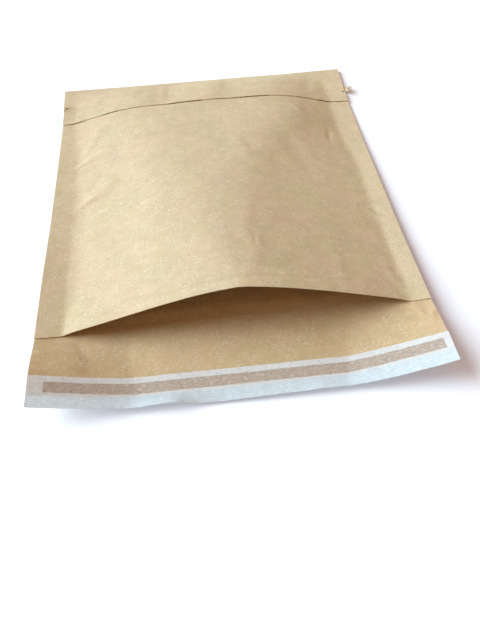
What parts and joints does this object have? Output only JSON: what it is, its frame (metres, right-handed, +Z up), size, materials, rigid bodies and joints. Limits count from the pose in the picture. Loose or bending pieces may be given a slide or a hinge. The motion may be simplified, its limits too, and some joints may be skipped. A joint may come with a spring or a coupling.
{
  "type": "padded envelope",
  "caption": "Kraft paper padded mailer lying open and empty: bulged pocket, unfolded closure flap with glue band and release liner, folded bottom flap with tear tape.",
  "frame": {"origin": "on the underside of the back wall, in the middle of the fold line between the pocket and the closure flap, at table height", "axes": "+Y runs along the mailer from the mouth to the folded bottom end, +Z is up from the table through the front panel, +X is to the right when looking into the mailer along +Y"},
  "size_m": [0.3264, 0.452, 0.0431],
  "materials": {
    "kraft": "plain unbleached kraft paper, matt with fine fibre flecks",
    "kraft_lining": "unbleached kraft lining paper over soft paper wadding, matt",
    "closure_glue": "dried hot-melt closure glue, brownish and slightly glossy",
    "glassine": "translucent white glassine release paper, satin",
    "tear_tape": "pale paper tear tape with a frayed end"
  },
  "bodies": {
    "root": {"back_panel": "kraft", "front_panel": "kraft", "back_padding": "kraft_lining", "front_padding": "kraft_lining", "closure_adhesive": "closure_glue", "release_liner": "glassine", "tear_tape": "tear_tape"}
  },
  "joints": []
}
